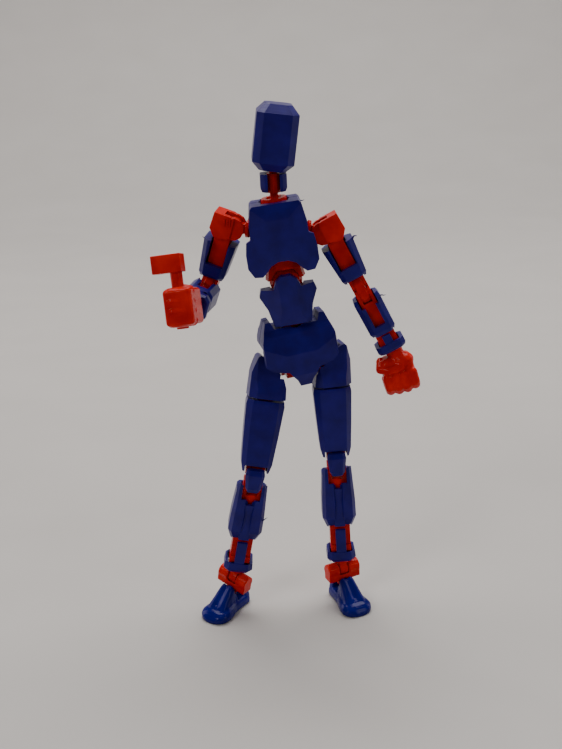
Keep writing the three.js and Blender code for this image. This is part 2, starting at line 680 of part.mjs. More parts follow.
function arm(side) {
  const way = side === "left" ? 1 : -1;
  const pose = armPose[side];
  const add = (parent, name, solid, material) => addMesh(
    parent, `${name}_${side}`, solid, material, side,
  );
  const joint = (parent, name, at, axis, degrees, set) => hinged(
    parent, `${name}_${side}`, [way * at[0], at[1], at[2]], axis, degrees, set,
  );

  // Shoulder link: a ball in the chest, a barrel, and a tongue across it
  const shoulder = joint(chest, "shoulder_swing", [shoulderHalf, 0, shoulderRise], xAxis,
    pose.swing, turned(zAxis, way * pose.yaw).multiply(turned(yAxis, way * pose.droop)));
  const { leaf } = armHinge;
  const cheeks = forkHalf(armHinge);
  const slot = slotHalf(armHinge);
  const barrelStart = girdleHalf - shoulderHalf + 1.1;
  const barrelEnd = barrelReach - shoulderCheekRadius - seam;
  add(shoulder, "shoulder_link", cut(
    joined(
      ball(shoulderBallRadius, [0, 0, 0]),
      rod("x", 1, 0, barrelStart + 0.2, [0, 0, 0]),
      rod("x", barrelRadius, barrelStart, barrelEnd, [0, 0, 0]),
      block([barrelEnd - 0.3, barrelReach], [-leaf, leaf], [-1.2, 1.2]),
      tongue("y", armHinge, shoulderEyeRadius, [barrelReach, 0, 0]),
    ),
    pinBore("y", armHinge, [barrelReach, 0, 0]),
  ), framePlastic());

  // Upper arm: round cheeks and a squared shoulder block above a bar
  const upperArm = joint(shoulder, "shoulder_raise", [barrelReach, 0, 0], yAxis,
    -way * pose.spread, turned(yAxis, -way * pose.droop));
  const barTop = -shoulderCheekRadius - 0.1;
  const barInside = armOffset - armBarHalf - 0.3;
  const barOutside = armOffset + armBarHalf;
  add(upperArm, "upper_arm_frame", joined(
    fork("y", armHinge, shoulderCheekRadius, [0, 0, 0]),
    cut(
      frontPlate([
        [0, 2.9], [armOffset + 3.3, 2.9], [armOffset + 3.5, -1.3], [barOutside + 0.2, -3.3], [0, -3.3],
      ], [-cheeks - 0.4, cheeks + 0.4]),
      rod("y", shoulderEyeRadius + swing, -slot, slot, [0, 0, 0]),
      block([-1, 2.8], [-slot, slot], [0, 4]),
      block([-1, armOffset], [-4, 4], [-3.4, 3]).subtract(
        rod("y", shoulderCheekRadius + 0.2, -cheeks - 0.4, cheeks + 0.4, [armOffset, 0, 0]),
      ),
    ),
    block([barInside, barOutside], [-1.7, 1.7], [elbowEyeRadius + webGap - upperArmLength, barTop]),
    leggedFork(armHinge, elbowEyeRadius, 1.6, [armOffset, 0, -upperArmLength], 1),
  ), framePlastic());

  const sleeveTop = -4.1;
  const sleeveBottom = -upperArmLength + 1.3;
  const sleeve = (half, depth) => (z, shift) => octagon(z, half, depth, 1.2, 1.2, [shift, 0]);
  add(upperArm, "upper_arm_cover", cut(
    loft([
      sleeve(2.9, 3)(sleeveBottom, armOffset),
      sleeve(3.3, 3.4)(sleeveBottom + 1, armOffset),
      sleeve(4.1, 3.5)(sleeveTop, armOffset),
    ]),
    block([armOffset - cheeks - seam, armOffset + cheeks + seam], [-1.7 - seam, 1.7 + seam],
      [-20, 0]),
    block([barInside - seam, barOutside + seam], [-5, 0], [sleeveTop - 6.2, 0]),
    block([armOffset - cheeks - seam, armOffset + cheeks + seam], [-5, 5],
      [-20, sleeveBottom + 0.5]),
  ), coverPlastic());

  // Elbow: a link with an eye at each end, so the arm folds on two pins
  const elbow = joint(upperArm, "elbow_upper", [armOffset, 0, -upperArmLength], xAxis,
    -pose.elbow);
  add(elbow, "elbow_link", twinLink(armHinge, elbowEyeRadius, elbowPitch), framePlastic());

  // Forearm
  const forearm = joint(elbow, "elbow_lower", [0, 0, -elbowPitch], xAxis, -pose.elbow);
  const wristBlockTop = -forearmLength + 4.8;
  add(forearm, "forearm_frame", cut(
    joined(
      leggedFork(armHinge, elbowEyeRadius, 1.6, [0, 0, 0], -1),
      block([-1.5, 1.5], [-1.6, 1.6], [wristBlockTop - 0.2, -elbowEyeRadius - webGap]),
      block([-2.5, 2.5], [-2.1, 2.1], [-forearmLength, wristBlockTop]),
    ),
    pegBore("z", -forearmLength, 1, [0, 0, 0]),
  ), framePlastic());

  add(forearm, "forearm_cover", cut(
    loft([
      octagon(-10.9, 2.9, 2.9, 1.1),
      octagon(-9.9, 3.4, 3.2, 1.2),
      octagon(-1.2, 3.5, 3.3, 1.2),
      octagon(-0.2, 3.2, 3, 1.1),
    ]),
    block([-1.8, 1.8], [-1.9, 1.9], [-20, 0.5]),
    block([-1.4, 1.4], [-5, 0], [-8.4, 1]),
    block([-cheeks - seam, cheeks + seam], [-elbowEyeRadius - seam, elbowEyeRadius + seam],
      [-elbowEyeRadius - webGap - webThickness - seam, 1]),
    block([-cheeks - seam, cheeks + seam], [-5, 0], [-elbowEyeRadius - 1, 1]),
    block([-2.8, 2.8], [-2.4, 2.4], [-20, wristBlockTop + seam]),
  ), coverPlastic());

  // Wrist cuff with a strap that runs up the front
  add(forearm, "wrist_cuff", cut(
    joined(
      loft([
        octagon(-forearmLength - 0.2, 3.4, 2.9, 1),
        octagon(-forearmLength + 0.5, 3.8, 3.3, 1.2),
        octagon(-forearmLength + 2.1, 3.8, 3.3, 1.2),
      ]),
      block([-1.1, 1.1], [-3.1, -2.4], [-forearmLength + 1.4, -11.3]),
    ),
    block([-2.8, 2.8], [-2.4, 2.4], [-20, 0]),
  ), coverPlastic());

  // Fist, with a bore through the curled fingers
  const hand = joint(forearm, "wrist_turn", [0, 0, -forearmLength], zAxis, way * pose.wrist);
  const palmTop = -1.7;
  const gripHeight = palmTop - fistLength * 0.52;
  const gripY = -0.7;
  const finger = (index) => {
    const width = (2 * fistHalfWidth) / 4;
    const x = -fistHalfWidth + index * width;
    const drop = [0.5, 0.1, 0, 0.4][index];
    const half = fistDepth / 2;
    const bottom = palmTop - fistLength + drop;
    return sidePlate([
      [-half + 0.9, palmTop - 2.6], [-half, palmTop - 3.6], [-half, bottom + 2.2],
      [-half + 1.6, bottom + 0.3], [half - 2.4, bottom + 0.1],
      [half - 0.6, bottom + 2.4], [half - 0.6, palmTop - 3],
    ], [x + 0.15, x + width - 0.15]);
  };
  const leaning = (solid) => solid.rotate([0, fistTilt, 0]);
  const fist = joined(
    sidePlate([
      [-2.4, palmTop], [-fistDepth / 2 + 0.6, palmTop - 2], [-fistDepth / 2 + 0.5, palmTop - 9],
      [-1, palmTop - fistLength + 0.9], [2.2, palmTop - fistLength + 1.4],
      [fistDepth / 2, palmTop - 7], [fistDepth / 2, palmTop - 2], [2.2, palmTop],
    ], [-fistHalfWidth + 0.4, fistHalfWidth - 0.4]),
    finger(0), finger(1), finger(2), finger(3),
    block([-fistHalfWidth - 0.9, -fistHalfWidth + 1], [-fistDepth / 2 - 0.5, -0.6],
      [palmTop - 5.4, palmTop - 2.2]),
  );
  const gripBore = rod("x", malletShaftRadius + seam, -8, 8, [0, gripY, gripHeight]);
  add(hand, "hand", joined(
    peg("z", -seam - 0.2, 0, 1, [0, 0, 0]),
    rod("z", 2.2, palmTop - 0.4, -seam, [0, 0, 0]),
    leaning(cut(fist, gripBore)),
  ), framePlastic());

  if (side === "right") {
    const [headLength, headAcross, headTall] = malletHead;
    const headEnd = gripY + malletShaftRadius + 0.4;
    add(hand, "mallet", leaning(joined(
      rod("x", malletShaftRadius, 1 - malletRise, fistHalfWidth + 0.4, [0, gripY, gripHeight]),
      block([-malletRise, headTall - malletRise], [headEnd - headLength, headEnd],
        [gripHeight - headAcross / 2, gripHeight + headAcross / 2]),
    )), framePlastic());
  }
}

arm("left");
arm("right");

// Legs: made once for the left side, mirrored for the right

function leg(side) {
  const way = side === "left" ? 1 : -1;
  const pose = legAngles[side];
  const add = (parent, name, solid, material) => addMesh(
    parent, `${name}_${side}`, solid, material, side,
  );
  const joint = (parent, name, at, axis, degrees, set) => hinged(
    parent, `${name}_${side}`, [way * at[0], at[1], at[2]], axis, degrees, set,
  );
  const cheeks = forkHalf(legHinge);
  const slot = slotHalf(legHinge);

  // Hip link: a peg that swings in the pelvis and a tongue across it
  const hip = joint(pelvis, "hip_swing", [hipX, 0, 0], xAxis, pose.swing);
  const hipMouth = pelvisBarHalf - hipX;
  add(hip, "hip_link", cut(
    joined(
      peg("x", hipMouth + seam + 0.1, hipMouth, -1, [0, 0, 0]),
      rod("x", 2.3, hipMouth + seam, hipMouth + seam + flange, [0, 0, 0]),
      block([hipMouth + seam + flange - 0.1, 0], [-legHinge.leaf, legHinge.leaf], [-1.3, 1.3]),
      tongue("y", legHinge, hipEyeRadius, [0, 0, 0]),
    ),
    pinBore("y", legHinge, [0, 0, 0]),
  ), framePlastic());

  // Upper thigh: a fork on the hip link above the bore of the thigh swivel
  const upperThigh = joint(hip, "hip_spread", [0, 0, 0], yAxis, -way * pose.spread);
  const swivelMouth = -upperThighLength + 0.4;
  const swivelHalf = 2.25;
  const barRoom = Math.hypot(pelvisBarDepth, pelvisBarDepth) + 2 * seam;
  add(upperThigh, "upper_thigh_frame", cut(
    joined(
      fork("y", legHinge, hipEyeRadius, [0, 0, 0]),
      block([-swivelHalf, swivelHalf], [-cheeks, -slot], [swivelMouth, 0]),
      block([-swivelHalf, swivelHalf], [slot, cheeks], [swivelMouth, 0]),
      block([-swivelHalf, swivelHalf], [-cheeks, cheeks], [swivelMouth, -hipEyeRadius - webGap]),
    ),
    pegBore("z", swivelMouth, 1, [0, 0, 0]),
  ), framePlastic());

  add(upperThigh, "upper_thigh_cover", cut(
    frontPlate([
      [4.8, swivelMouth - 0.2], [4.9, -0.8], [3.9, 3.2], [3.3, 3.7], [2.3, 3.4], [-0.8, 1.2],
      [-3.2, -1.4], [-4.4, -4], [-4.8, swivelMouth - 0.2],
    ], [-4.4, 4.4]).intersect(planColumn([
      [5, -2.2], [5, 2.2], [3, 4.4], [-3, 4.4], [-5, 2.4], [-5, -2.4], [-3, -4.4], [3, -4.4],
    ], [-12, 6])).intersect(sidePlate([
      [-4.4, -12], [-4.4, -5], [-3.8, -2.4], [-3.4, 4.8], [2.4, 4.8], [3.4, -2.4],
      [4.4, -5], [4.4, -12],
    ], [-6, 6])),
    block([-swivelHalf - seam, swivelHalf + seam], [-cheeks - seam, cheeks + seam], [-12, 6]),
    rod("y", hipEyeRadius + seam, -cheeks - seam, cheeks + seam, [0, 0, 0]),
    rod("x", barRoom, -6, hipMouth + flange + 2 * seam, [0, 0, 0]),
  ), coverPlastic());

  // Thigh
  const thigh = joint(upperThigh, "thigh_turn", [0, 0, -upperThighLength], zAxis,
    way * pose.turn);
  const thighBarDepth = 1.9;
  add(thigh, "thigh_frame", joined(
    peg("z", seam - 0.5, 0.4, 1, [0, 0, 0]),
    rod("z", 2.1, -0.7, 0.4 - seam, [0, 0, 0]),
    block([-legBarHalf, legBarHalf], [-thighBarDepth, thighBarDepth],
      [kneeEyeRadius + webGap - thighLength, -0.6]),
    leggedFork(legHinge, kneeEyeRadius, thighBarDepth, [0, 0, -thighLength], 1),
  ), framePlastic());

  const thighTop = -0.3;
  const thighBottom = -thighLength - 1;
  const kneeRoom = kneeEyeRadius + webGap + webThickness + seam - thighLength;
  add(thigh, "thigh_cover", cut(
    loft([
      octagon(thighBottom, 3.4, 3.1, 0.9),
      octagon(thighBottom + 2.4, 4, 3.8, 1.2),
      octagon(-9, 4.5, 4.3, 1.4),
      octagon(thighTop - 1.2, 4.9, 4.6, 1.6),
      octagon(thighTop, 4.7, 4.4, 1.5),
    ]),
    rod("z", 2.5, -1, 1, [0, 0, 0]),
    block([-legBarHalf - seam, legBarHalf + seam], [-thighBarDepth - seam, thighBarDepth + seam],
      [-30, 0]),
    block([-cheeks - seam, cheeks + seam], [-kneeEyeRadius - seam, kneeEyeRadius + seam],
      [-30, kneeRoom]),
    block([-2.9, 2.9], [-6, 0], [-30, 0.75 - thighLength]),
    sidePlate([
      [1, -thighLength - 4], [6, -thighLength - 4], [6, 3.6 - thighLength],
      [3.4, 3 - thighLength], [1, 1.4 - thighLength],
    ], [-6, 6]),
  ), coverPlastic());

  // Knee: a link with two eyes under a barrel-shaped kneecap
  const knee = joint(thigh, "knee_upper", [0, 0, -thighLength], xAxis, pose.flex);
  const neckHalf = legHinge.leaf;
  add(knee, "knee_link", joined(
    twinLink(legHinge, kneeEyeRadius, kneePitch),
    block([-neckHalf, neckHalf], [-2.9, 0.6 - kneeEyeRadius], [-kneePitch * 0.72, -kneePitch * 0.28]),
  ), framePlastic());
  add(knee, "kneecap", cut(
    loft([
      octagon(-kneePitch - 0.8, 1.4, 0.7, 0.4, 0.4, [0, -3.3]),
      octagon(-kneePitch + 0.4, 2, 1.1, 0.7, 0.7, [0, -3.6]),
      octagon(-0.8, 2.5, 1.2, 0.8, 0.8, [0, -3.7]),
      octagon(0.5, 2.2, 0.9, 0.6, 0.6, [0, -3.5]),
    ]),
    block([-neckHalf - seam, neckHalf + seam], [-2.9 - seam, 0],
      [-kneePitch * 0.72 - seam, seam - kneePitch * 0.28]),
    rod("x", kneeEyeRadius + seam, -4, 4, [0, 0, 0]),
    rod("x", kneeEyeRadius + seam, -4, 4, [0, 0, -kneePitch]),
  ), coverPlastic());

  // Shin
  const shin = joint(knee, "knee_lower", [0, 0, -kneePitch], xAxis, pose.flex);
  const ankleBlockHalf = 2.7;
  const shinBarDepth = 1.8;
  const ankleMouth = ankleLinkLength - shinLength;
  const strapTop = -17.2;
  const shinWaist = -16.4;      // the bar widens here into the ankle block
  const boreBlockDepth = 2.3;
  const boreBlockTop = ankleMouth + 4.8;
  add(shin, "shin_frame", cut(
    joined(
      leggedFork(legHinge, kneeEyeRadius, shinBarDepth, [0, 0, 0], -1),
      block([-legBarHalf, legBarHalf], [-shinBarDepth, shinBarDepth],
        [shinWaist - 0.2, -kneeEyeRadius - webGap]),
      block([-ankleBlockHalf, ankleBlockHalf], [-shinBarDepth, shinBarDepth],
        [boreBlockTop - 0.2, shinWaist]),
      block([-ankleBlockHalf, ankleBlockHalf], [-boreBlockDepth, boreBlockDepth],
        [ankleMouth, boreBlockTop]),
    ),
    pegBore("z", ankleMouth, 1, [0, 0, 0]),
  ), framePlastic());

  const shinTop = 0.9;
  add(shin, "shin_cover", cut(
    joined(
      ...[-1, 1].map((bulge) => loft([
        octagon(-16.8, 1.5, 2, 0.7, 0.8, [bulge * 1.9, 0.2]),
        octagon(-13.6, 2.1, 3.2, 0.9, 1.2, [bulge * 2.4, 0]),
        octagon(-8.6, 2.1, 3.5, 0.9, 1.3, [bulge * 2.3, 0]),
        octagon(shinTop, 1.5, 2.7, 0.6, 0.9, [bulge * 2.3, 0.2]),
      ])),
      block([-1.4, 1.4], [-2.9, 3.1], [-16.2, -5]),
    ),
    block([-legBarHalf - seam, legBarHalf + seam], [-shinBarDepth - seam, shinBarDepth + seam],
      [ankleMouth, 3]),
    block([-cheeks - seam, cheeks + seam], [-kneeEyeRadius - seam, kneeEyeRadius + seam],
      [-kneeEyeRadius - webGap - webThickness - seam, 3]),
    block([-cheeks, cheeks], [-5, 0], [-3.4, 3]),
    block([-5, 5], [-1.6, 5], [-1.2, 3]),
    block([-ankleBlockHalf - seam, ankleBlockHalf + seam],
      [-shinBarDepth - seam, shinBarDepth + seam], [ankleMouth, shinWaist + seam]),
  ), coverPlastic());

  // Ankle cuff with a strap that runs up the front of the shin
  const cuffTop = ankleMouth + 3;
  const cuffBottom = ankleMouth - 0.1;
  add(shin, "ankle_cuff", cut(
    joined(
      loft([
        octagon(cuffBottom, 3.3, 2.7, 1),
        octagon(cuffBottom + 1, 3.9, 3.3, 1.2),
        octagon(cuffTop, 3.7, 3.2, 1.2),
      ]),
      block([-1.35, 1.35], [-3.1, -2.2], [cuffTop - 1, strapTop]),
    ),
    block([-ankleBlockHalf - seam, ankleBlockHalf + seam],
      [-boreBlockDepth - seam, boreBlockDepth + seam], [cuffBottom - 1, boreBlockTop + seam]),
    block([-ankleBlockHalf - seam, ankleBlockHalf + seam],
      [-shinBarDepth - seam, shinBarDepth + seam], [cuffBottom - 1, 0]),
  ), coverPlastic());

  // Ankle link: turns in the bore of the shin, with the ankle pin's eye below
  const ankleLink = joint(shin, "ankle_turn", [0, 0, ankleMouth], zAxis, way * pose.ankle);
  add(ankleLink, "ankle_link", cut(
    joined(
      peg("z", -seam - 0.1, 0, 1, [0, 0, 0]),
      rod("z", 2.2, -seam - flange, -seam, [0, 0, 0]),
      block([-legHinge.leaf, legHinge.leaf], [-1.3, 1.3], [-ankleLinkLength, 0.1 - seam - flange]),
      tongue("x", legHinge, ankleEyeRadius, [0, 0, -ankleLinkLength]),
    ),
    pinBore("x", legHinge, [0, 0, -ankleLinkLength]),
  ), framePlastic());

  // Ankle yoke: lobes on the ankle pin, a bridge below them, a tongue into the foot
  const ankle = joint(ankleLink, "ankle_bend", [0, 0, -ankleLinkLength], xAxis, pose.bend);
  const lobeOut = 4.6;
  const lobe = (end) => joined(
    rod("x", 2, ...inOrder(end * slot, end * lobeOut), [0, -0.2, 0]),
    block(inOrder(end * slot, end * lobeOut), [-1.9, 1.5], [-2.9, 0]),
  );
  add(ankle, "ankle_yoke", joined(
    lobe(-1), lobe(1),
    rod("x", legHinge.pin, -slot - 0.2, slot + 0.2, [0, 0, 0]),
    cut(
      block([-lobeOut, lobeOut], [-1.9, 1.5], [-2.9, -1]),
      rod("x", ankleEyeRadius + swing, -slot, slot, [0, 0, 0]),
    ),
    block([-1.8, 1.8], [-legHinge.leaf, legHinge.leaf], [-ankleRise, -2.4]),
    tongue("y", legHinge, 1.8, [0, 0, -ankleRise]).subtract(
      pinBore("y", legHinge, [0, 0, -ankleRise]),
    ),
  ).subtract(pinBore("y", legHinge, [0, 0, -ankleRise])), framePlastic());

  // Foot, with a hollow instep and a flat sole
  const foot = joint(ankle, "ankle_roll", [0, 0, -ankleRise], yAxis, -way * pose.roll);
  const toe = heelReach - footLength;
  add(foot, "foot", cut(
    sidePlate([
      [toe + 0.8, -footRise], [toe, -footRise + 1.2], [toe + 0.6, -footRise + 3.1],
      [toe + 3.4, -footRise + 4.6], [-3.6, -0.2], [-2.4, 0.9], [2.2, 0.9], [heelReach, -2.4],
      [heelReach, -footRise + 0.6], [heelReach - 0.6, -footRise],
    ], [-footHalfWidth - 1, footHalfWidth + 1]).intersect(planColumn([
      [2.4, heelReach], [3, 2], [3, -2.5], [footHalfWidth, toe + 4.4], [3.5, toe + 0.9],
      [1.7, toe], [-2, toe], [-3.6, toe + 1.2], [-footHalfWidth, toe + 4.4], [-3, -2.5],
      [-3, 2], [-2.4, heelReach],
    ], [-footRise - 1, 3])),
    block([-6, 6], [-slot, slot], [-2.9, 3]),
    block([-6, 6], [-2.9, 2.2], [-0.8, 3]),
    block([-1.3, 1.3], [toe + 3.6, -4.6], [-footRise + 3.6, 2]),
  ).add(rod("y", legHinge.pin, -slot - 0.3, slot + 0.3, [0, 0, 0])), coverPlastic());
}

const legAngles = standOnBothFeet();
leg("left");
leg("right");

// The frame's origin is on the floor, under the middle of the whole figure
const middle = new THREE.Box3().setFromObject(figure, true).getCenter(new THREE.Vector3());
figure.position.set(-middle.x, -middle.y, 0);

export default figure;
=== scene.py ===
# A posable figure printed in two plastics, dressed for the camera. Metres, +Z up, it faces -Y.
import math

import bmesh
import bpy
from mathutils import Matrix, Vector
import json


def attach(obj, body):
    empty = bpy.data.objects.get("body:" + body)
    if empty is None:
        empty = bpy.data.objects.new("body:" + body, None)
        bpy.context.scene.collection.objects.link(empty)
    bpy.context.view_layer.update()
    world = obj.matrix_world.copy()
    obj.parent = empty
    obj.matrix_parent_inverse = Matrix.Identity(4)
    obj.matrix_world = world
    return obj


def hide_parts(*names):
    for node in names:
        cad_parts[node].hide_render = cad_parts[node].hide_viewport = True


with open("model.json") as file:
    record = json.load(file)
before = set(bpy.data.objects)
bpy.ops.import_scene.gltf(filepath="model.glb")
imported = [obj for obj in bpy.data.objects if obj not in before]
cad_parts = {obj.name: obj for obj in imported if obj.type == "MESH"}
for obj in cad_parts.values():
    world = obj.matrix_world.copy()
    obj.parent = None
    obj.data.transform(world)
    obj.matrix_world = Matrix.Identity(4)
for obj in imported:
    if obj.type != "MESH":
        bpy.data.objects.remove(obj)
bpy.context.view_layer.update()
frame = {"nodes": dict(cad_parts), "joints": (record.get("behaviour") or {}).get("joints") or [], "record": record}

# The camera: a phone held 25 cm from the middle of the figure, in front and above it,
# looking down 19 degrees and rolled a little, so uprights lean left at the top.
photo_pitch = math.radians(19)
photo_roll = math.radians(2.3)
photo_height_pixels = 749
lens_pixels = 1000
phone_place = (-0.003515, -0.232588, 0.1499)
level_right = Vector((1, 0, 0))
level_up = Vector((0, math.sin(photo_pitch), math.cos(photo_pitch)))
camera_right = level_right * math.cos(photo_roll) - level_up * math.sin(photo_roll)
camera_up = level_up * math.cos(photo_roll) + level_right * math.sin(photo_roll)
camera_back = camera_right.cross(camera_up)


def turned_to(x_axis, y_axis, z_axis):
    return Matrix((x_axis, y_axis, z_axis)).transposed().to_4x4()


phone = bpy.data.cameras.new("phone")
phone.sensor_width = 36
phone.lens = lens_pixels / photo_height_pixels * phone.sensor_width
phone.clip_start = 0.01
phone_stand = bpy.data.objects.new("phone", phone)
phone_stand.matrix_world = (
    Matrix.Translation(phone_place) @ turned_to(camera_right, camera_up, camera_back))
bpy.context.scene.collection.objects.link(phone_stand)
bpy.context.scene.camera = phone_stand

# The studio: a pale sheet that sweeps up behind the figure, a broad soft light overhead
# and slightly behind, a softbox at each side behind the figure, and two in front.
sheet_front = -1.2
sheet_back = 0.55
sheet_top = 1.6
sheet_half_width = 1.4
sweep_radius = 0.3
sheet_outline = [(sheet_front, 0), (sheet_back, 0)]
for degrees in range(10, 91, 10):
    bend = math.radians(degrees)
    sheet_outline.append((
        sheet_back + sweep_radius * math.sin(bend), sweep_radius - sweep_radius * math.cos(bend)))
sheet_outline.append((sheet_back + sweep_radius, sheet_top))
sheet_points = [(x, y, z) for y, z in sheet_outline for x in (-sheet_half_width, sheet_half_width)]
sheet_faces = [(2 * i, 2 * i + 1, 2 * i + 3, 2 * i + 2) for i in range(len(sheet_outline) - 1)]
sheet_mesh = bpy.data.meshes.new("paper_sweep")
sheet_mesh.from_pydata(sheet_points, [], sheet_faces)
sheet_mesh.shade_smooth()
paper = bpy.data.materials.new("pale_paper")
paper.use_nodes = True
paper_nodes = paper.node_tree.nodes
paper_shader = paper_nodes["Principled BSDF"]
paper_shader.inputs["Roughness"].default_value = 0.6
paper_grain = paper_nodes.new("ShaderNodeTexNoise")
paper_grain.inputs["Scale"].default_value = 60
paper_tone = paper_nodes.new("ShaderNodeValToRGB")
paper_tone.color_ramp.elements[0].color = (0.45, 0.435, 0.42, 1)
paper_tone.color_ramp.elements[1].color = (0.5, 0.485, 0.47, 1)
paper.node_tree.links.new(paper_grain.outputs["Fac"], paper_tone.inputs["Fac"])
paper.node_tree.links.new(paper_tone.outputs["Color"], paper_shader.inputs["Base Color"])
sheet_mesh.materials.append(paper)
sheet = bpy.data.objects.new("paper_sweep", sheet_mesh)
bpy.context.scene.collection.objects.link(sheet)


def softbox(name, place, aim_height, size, watts, tint, shine):
    lamp = bpy.data.lights.new(name, "AREA")
    lamp.shape = "RECTANGLE"
    lamp.size, lamp.size_y = size
    lamp.energy = watts
    lamp.color = tint
    lamp.specular_factor = shine
    stand = bpy.data.objects.new(name, lamp)
    stand.location = place
    aim = Vector((0, 0, aim_height)) - Vector(place)
    stand.rotation_euler = aim.to_track_quat("-Z", "Y").to_euler()
    bpy.context.scene.collection.objects.link(stand)


softbox("overhead", (0.05, 0.35, 0.9), 0.06, (0.9, 0.6), watts=11, tint=(1, 0.96, 0.92), shine=0.3)
softbox("back_left", (-0.75, 0.3, 0.35), 0.07, (0.4, 0.6), watts=2.2, tint=(1, 0.93, 0.95), shine=0.6)
softbox("back_right", (0.75, 0.35, 0.35), 0.06, (0.4, 0.6), watts=1.8, tint=(1, 0.95, 0.97), shine=0.2)
softbox("front_left", (-0.6, -0.6, 0.7), 0.07, (0.3, 0.3), watts=2.6, tint=(1, 0.97, 0.95), shine=0.8)
softbox("front_right", (0.7, -0.5, 0.5), 0.06, (0.3, 0.4), watts=1.3, tint=(0.94, 0.96, 1), shine=0.8)
room = bpy.data.worlds.new("room")
bpy.context.scene.world = room
room.use_nodes = True
room.node_tree.nodes["Background"].inputs["Color"].default_value = (0.75, 0.72, 0.7, 1)
room.node_tree.nodes["Background"].inputs["Strength"].default_value = 0.1

# Pelvis frame: the red-orange block that carries the waist peg and both hip pegs.
# Printed in one go from glossy, slightly translucent filament, so its corners are
# eased by about half the width of the nozzle, and fine layer lines run round it.
body_of_node = {
    node: body for body, nodes in frame["record"]["behaviour"]["bodies"].items() for node in nodes}

# Metres between two bands of Blender's wave texture at a scale of one.
wave_step_at_scale_one = 0.3142


def printed_plastic(name, deep, bright, rough, layer, glow, sheen, pitting=0.00005):
    plastic = bpy.data.materials.new(name)
    plastic.use_nodes = True
    tree = plastic.node_tree
    nodes, links = tree.nodes, tree.links
    shader = nodes["Principled BSDF"]
    place = nodes.new("ShaderNodeTexCoord")

    # The colour is a little uneven, as melted filament is.
    mottle = nodes.new("ShaderNodeTexNoise")
    mottle.inputs["Scale"].default_value = 260
    mottle.inputs["Detail"].default_value = 4
    links.new(place.outputs["Object"], mottle.inputs["Vector"])
    tone = nodes.new("ShaderNodeValToRGB")
    tone.color_ramp.elements[0].position = 0.3
    tone.color_ramp.elements[0].color = (*deep, 1)
    tone.color_ramp.elements[1].position = 0.72
    tone.color_ramp.elements[1].color = (*bright, 1)
    links.new(mottle.outputs["Fac"], tone.inputs["Fac"])
    links.new(tone.outputs["Color"], shader.inputs["Base Color"])

    # So is the gloss.
    smear = nodes.new("ShaderNodeTexNoise")
    smear.inputs["Scale"].default_value = 700
    smear.inputs["Detail"].default_value = 3
    links.new(place.outputs["Object"], smear.inputs["Vector"])
    gloss = nodes.new("ShaderNodeMapRange")
    gloss.inputs["To Min"].default_value = rough[0]
    gloss.inputs["To Max"].default_value = rough[1]
    links.new(smear.outputs["Fac"], gloss.inputs["Value"])
    links.new(gloss.outputs["Result"], shader.inputs["Roughness"])

    # Layer lines, one per step of the nozzle, and shallow pits in the surface.
    layers = nodes.new("ShaderNodeTexWave")
    layers.bands_direction = "Z"
    layers.inputs["Scale"].default_value = wave_step_at_scale_one / layer
    layers.inputs["Distortion"].default_value = 0.8
    layers.inputs["Detail"].default_value = 1
    links.new(place.outputs["Object"], layers.inputs["Vector"])
    ridges = nodes.new("ShaderNodeBump")
    ridges.inputs["Strength"].default_value = 0.3
    ridges.inputs["Distance"].default_value = 0.00004
    links.new(layers.outputs["Fac"], ridges.inputs["Height"])
    pits = nodes.new("ShaderNodeBump")
    pits.inputs["Strength"].default_value = 0.25
    pits.inputs["Distance"].default_value = pitting
    links.new(smear.outputs["Fac"], pits.inputs["Height"])
    links.new(ridges.outputs["Normal"], pits.inputs["Normal"])
    links.new(pits.outputs["Normal"], shader.inputs["Normal"])

    shader.inputs["IOR"].default_value = 1.48
    shader.inputs["Specular IOR Level"].default_value = sheen
    shader.inputs["Subsurface Weight"].default_value = glow
    shader.inputs["Subsurface Radius"].default_value = (0.002, 0.0006, 0.0003)
    shader.inputs["Subsurface Scale"].default_value = 1
    return plastic


red_orange = printed_plastic(
    "red_orange_filament", deep=(0.48, 0.003, 0.001), bright=(0.7, 0.011, 0.002),
    rough=(0.14, 0.28), layer=0.00024, glow=0.1, sheen=0.12, pitting=0.00008)
frame_ease = 0.00018
same_point = 0.000002
flat_joint = math.radians(1)
eased_corner = math.radians(16)
crisp_corner = math.radians(35)


def new_piece(name, shape):
    piece = bpy.data.objects.new(name, shape)
    bpy.context.scene.collection.objects.link(piece)
    return piece


def moulded(node, ease, plastic):
    shape = frame["nodes"][node].data.copy()
    solid = bmesh.new()
    solid.from_mesh(shape)
    bmesh.ops.remove_doubles(solid, verts=solid.verts, dist=same_point)
    bmesh.ops.dissolve_limit(
        solid, angle_limit=flat_joint, verts=solid.verts, edges=solid.edges)
    corners = [
        edge for edge in solid.edges
        if edge.is_manifold and edge.calc_face_angle(0) > eased_corner]
    bmesh.ops.bevel(
        solid, geom=corners, offset=ease, offset_type="OFFSET", segments=2, profile=0.5,
        affect="EDGES", clamp_overlap=True)
    solid.to_mesh(shape)
    solid.free()
    shape.shade_smooth()
    shape.set_sharp_from_angle(angle=crisp_corner)
    shape.materials.clear()
    shape.materials.append(plastic)
    piece = new_piece(node + "_print", shape)
    even = piece.modifiers.new("even_faces", "WEIGHTED_NORMAL")
    even.keep_sharp = True
    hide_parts(node)
    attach(piece, body_of_node[node])


def frame_piece(node):
    moulded(node, frame_ease, red_orange)


frame_piece("pelvis_frame")

# Pelvis covers: two blue half shells that clip round the frame from front and back.
# Printed in satin ultramarine filament, their facets meet in crisp edges.
ultramarine = printed_plastic(
    "ultramarine_filament", deep=(0.008, 0.0028, 0.115), bright=(0.012, 0.005, 0.18),
    rough=(0.26, 0.38), layer=0.0003, glow=0, sheen=0.2)
cover_ease = 0.00022


def cover_piece(node):
    moulded(node, cover_ease, ultramarine)


cover_piece("pelvis_front")
cover_piece("pelvis_back")

